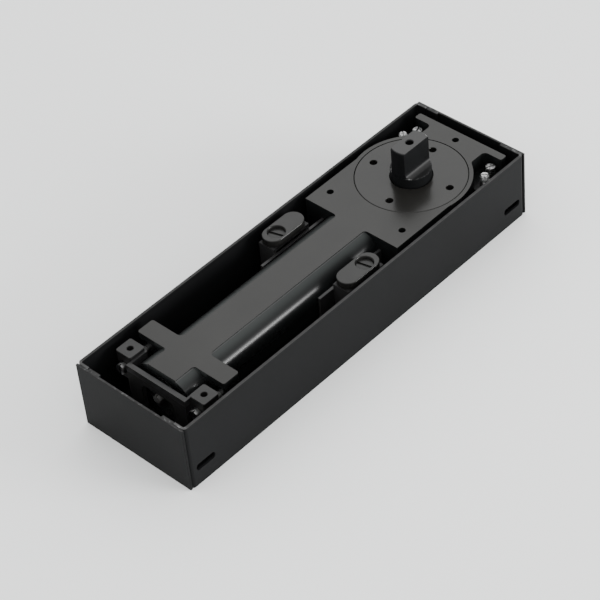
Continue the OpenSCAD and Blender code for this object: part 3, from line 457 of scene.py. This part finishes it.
# The brackets: bent sheet steel, riveted to the floor and sprayed satin black before the closer
# goes in. Spray is thin in the bends, and handling has rubbed their corners.
bracket_black = Finish("satin_black_bracket_paint", Specular_IOR_Level=0.2, Coat_Roughness=0.3)
patch = bracket_black.grain(0.012, 4)
spray = bracket_black.grain(0.0007, 3)
lip_top, lip_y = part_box("left_clamp_bracket")[1].z, 0.0228
lip = bracket_black.step(bracket_black.along("Z"), lip_top - 0.0038, lip_top - 0.0035) \
    * (1 - bracket_black.step(abs(bracket_black.along("Y")), lip_y, lip_y + 0.0004))
bracket_black.set(
    Coat_Weight=lip * (0.3 + 0.6 * patch),
    Base_Color=bracket_black.blend(patch, grey(0.012), grey(0.026, (1, 1, 1.02))),
    Roughness=0.36 + 0.16 * patch,
    Normal=bracket_black.relief(spray, 0.00002),
)
for node in ("left_clamp_bracket", "right_clamp_bracket", "near_yoke",
             "left_far_bracket", "right_far_bracket"):
    bent = copy_of(node)
    break_edges(bent, 0.0003)
    fit(bent, node + "_bent", bracket_black, "bracket_paint", node)

# The clamps: round-ended plates sawn from flat bar, tumbled and sprayed dark grey, that swing
# in against the neck and are drawn down on their brackets by a cheese-head screw sunk in each.
clamp_grey = Finish("dark_sprayed_clamp", Specular_IOR_Level=0.12, Coat_Roughness=0.26, Coat_IOR=1.5)
clamp_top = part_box("left_clamp")[1].z
cloud = clamp_grey.grain(0.01, 4)
fine = clamp_grey.grain(0.0004, 3)
clamp_grey.set(
    Base_Color=clamp_grey.blend(cloud, grey(0.008, (1.02, 1, 0.95)), grey(0.014, (1.02, 1, 0.95))),
    Roughness=0.4 + 0.12 * cloud,
    Coat_Weight=clamp_grey.step(clamp_grey.along("Z"), clamp_top - 0.0023, clamp_top - 0.0019)
    * (0.66 + 0.2 * cloud),
    Normal=clamp_grey.relief(fine, 0.00001),
)
head_thick, head_reach, head_spread = 0.0018, 0.0043, 1.14
slot_angle, slot_half, slot_spread = 94, 0.0006, 1.7
top_sunk, rest_sunk = 0.00125, 0.0005
for side, home in (("left", 12), ("right", 8)):
    plate = copy_of(side + "_clamp")
    break_edges(plate, 0.0005)
    fit(plate, side + "_clamp_tumbled", clamp_grey, "clamp_steel", side + "_clamp")
    screw = copy_of(side + "_clamp_screw")
    low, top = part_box(side + "_clamp_screw")
    middle = Vector(((low.x + top.x) / 2, (low.y + top.y) / 2, 0))
    for vert in screw.verts:
        arm = Matrix.Rotation(radians(-slot_angle), 3, "Z") @ (vert.co - middle)
        if vert.co.z > top.z - head_thick:
            # Screwed home: the head fills the counterbore and its slot has been spread by the driver
            if abs(arm.y) < slot_half:
                arm.y *= slot_spread
            elif arm.xy.length > head_reach:
                arm.xy *= head_spread
            vert.co.z -= top_sunk if vert.co.z > top.z - 0.0001 else rest_sunk
        vert.co.xy = (middle + Matrix.Rotation(radians(slot_angle + home), 3, "Z") @ arm).xy
    break_edges(screw, 0.00025)
    fit(screw, side + "_clamp_screw_turned", clamp_grey, "clamp_steel", side + "_clamp_screw")

# The adjuster blocks: sawn steel nuts beside the yoke, through which the lengthwise screws push
# against the near cross bar. A small socket screw from above locks each.
block_grey = Finish("dark_sprayed_block", Specular_IOR_Level=0.15, Coat_Roughness=0.3, Coat_IOR=1.45)
block_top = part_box("left_adjuster_block")[1].z
cloud = block_grey.grain(0.008, 4)
block_grey.set(
    Base_Color=block_grey.blend(cloud, grey(0.009), grey(0.016)),
    Roughness=0.4 + 0.14 * cloud,
    Coat_Weight=block_grey.step(block_grey.along("Z"), block_top - 0.0011, block_top - 0.0006)
    * (0.8 + 0.2 * cloud),
    Normal=block_grey.relief(block_grey.grain(0.0005, 3), 0.000012),
)
for side in ("left", "right"):
    block = copy_of(side + "_adjuster_block")
    break_edges(block, 0.0004)
    fit(block, side + "_adjuster_block_sawn", block_grey, "clamp_steel", side + "_adjuster_block")
grubs = copy_of("adjuster_grub_screws")
break_edges(grubs, 0.0001)
fit(grubs, "adjuster_grub_screws_turned", spindle_black, "spindle_steel", "adjuster_grub_screws")

# The setting screws are bought in, slotted and with rolled threads. The height and fixing screws
# are plated in bright zinc that shows its crystals and a few dull spots, and the lengthwise pair is bare.
zinc = Finish("bright_zinc_plate", Metallic=1.0)
crystal = zinc.node("ShaderNodeTexVoronoi", None, {"Vector": zinc.place, "Scale": 1 / 0.0008}, "Distance")
dull = zinc.grain(0.002, 4)
zinc.set(
    Base_Color=zinc.blend(zinc.step(zinc.grain(0.0011, 3), 0.5, 0.6),
                          zinc.blend(dull, grey(0.8, (1, 1, 0.98)), grey(0.55, (1, 1, 1.02))), grey(0.2)),
    Roughness=0.24 + 0.12 * crystal + 0.16 * dull,
    Normal=zinc.relief(crystal, 0.00016, zinc.relief(dull, 0.0001)),
)


def roll_thread(shape, axis, start, end, radius, pitch, middles):
    """Rolls a thread into the plain shanks that stand along an axis round these middles."""
    along = Vector([float(n == axis) for n in range(3)])
    half = pitch / 2
    turns = int(abs(end - start) / half)
    start = min(start, end)
    for n in range(turns + 1):
        bmesh.ops.bisect_plane(shape, geom=shape.verts[:] + shape.edges[:] + shape.faces[:], dist=1e-7,
                               plane_co=along * (start + n * half), plane_no=along)
    for vert in shape.verts:
        step = (vert.co[axis] - start) / half
        if not (-0.1 < step < turns + 0.1 and abs(step - round(step)) < 0.02 and round(step) % 2):
            continue
        flat = vert.co - along * vert.co[axis]
        arm = min((flat - (middle - along * middle[axis]) for middle in middles), key=lambda a: a.length)
        if abs(arm.length - radius) < 0.00012:
            vert.co -= arm.normalized() * pitch * 0.38


def middle_of(node, side):
    """The middle of a screw on the left (1) or right (-1) side of a node that holds a pair."""
    spots = [v.co for v in frame["nodes"][node].data.vertices if v.co.y * side > 0]
    return Vector([(min(s[n] for s in spots) + max(s[n] for s in spots)) / 2 for n in range(3)])


# Run up a little by the setting: the turned end stands higher above the lug than its seat
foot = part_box("left_far_bracket")[1].z + 0.0012
for node, head, rise in (("height_screws", 0.0027, 0.0016), ("fixing_screws", 0.0028, 0.0014)):
    screws = copy_of(node)
    middles = [middle_of(node, side) for side in (1, -1)]
    top_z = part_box(node)[1].z
    for vert in screws.verts:
        middle = min(middles, key=lambda m: (vert.co - m).length)
        arm = vert.co.xy - middle.xy
        if vert.co.z > foot and arm.length > head:
            arm *= head / arm.length
        vert.co.xy = middle.xy + arm
        if vert.co.z > foot:
            vert.co.z += rise * (vert.co.z - foot) / (top_z - foot)
    bmesh.ops.remove_doubles(screws, verts=screws.verts, dist=2e-6)
    if node == "height_screws":
        # The height screw has no head: its thread runs to the top and ends in a chamfer
        end_z = top_z + rise
        roll_thread(screws, 2, foot + 0.0003, end_z - 0.0006, head, 0.001, middles)
        for vert in screws.verts:
            middle = min(middles, key=lambda m: (vert.co - m).length)
            if vert.co.z > end_z - 0.0001:
                vert.co.xy = middle.xy + (vert.co.xy - middle.xy) * 0.75
    break_edges(screws, 0.00025, 50)
    fit(screws, node + "_plated", zinc, "zinc_steel", node)
pushers = copy_of("lengthwise_screws")
break_edges(pushers, 0.00025, 50)
fit(pushers, "lengthwise_screws_plated", bright_steel, "zinc_steel", "lengthwise_screws")

# The floor: a wide matt sheet of pale grey card, a hair under the base, evenly lit, that takes
# the closer's soft shadow.
card = bmesh.new()
bmesh.ops.create_grid(card, x_segments=1, y_segments=1, size=6)
card_mesh = bpy.data.meshes.new("floor_card")
card.to_mesh(card_mesh)
card.free()
floor = bpy.data.objects.new("floor_card", card_mesh)
floor.data.transform(Matrix.Translation((0, 0, -0.00005)))
bpy.context.scene.collection.objects.link(floor)
card_grey = Finish("pale_card", Roughness=1.0, Specular_IOR_Level=0.0)
card_tint = (0.985, 1, 0.995)
card_cloud = card_grey.grain(0.5, 2)
card_grey.set(Base_Color=card_grey.blend(card_cloud, grey(0.915, card_tint), grey(0.93, card_tint)))
floor.data.materials.append(card_grey.material)

# The lighting: a pale room, one large soft box behind the spindle end to the left, whose sheen
# lies on the flat tops, and a narrow one low on the right that draws the line along the cylinder.
world = bpy.data.worlds.new("pale_room")
bpy.context.scene.world = world
air = Finish("pale_air", world, "Background")
seen_rays = ("Is Camera Ray", "Is Glossy Ray", "Is Transmission Ray")
in_view = sum(air.node("ShaderNodeLightPath", output=ray) for ray in seen_rays)
air.set(Color=air.blend(in_view, grey(1.74), (0.70, 0.715, 0.71, 1)))


def soft_box(name, towards, distance, wide, high, power):
    """An even area lamp that faces the middle of the case."""
    lamp = bpy.data.lights.new(name, "AREA")
    lamp.shape, lamp.size, lamp.size_y, lamp.energy = "RECTANGLE", wide, high, power
    box = bpy.data.objects.new(name, lamp)
    aim = Vector((-0.08, 0, 0.03))
    box.location = aim + Vector(towards).normalized() * distance
    box.rotation_euler = (box.location - aim).to_track_quat("Z", "Y").to_euler()
    bpy.context.scene.collection.objects.link(box)


soft_box("sheen_box", (0.66, 0.49, 0.64), 2.0, 1.4, 1.4, 6.2)
soft_box("line_box", (0.46, -0.85, 0.22), 1.6, 0.8, 0.5, 31)
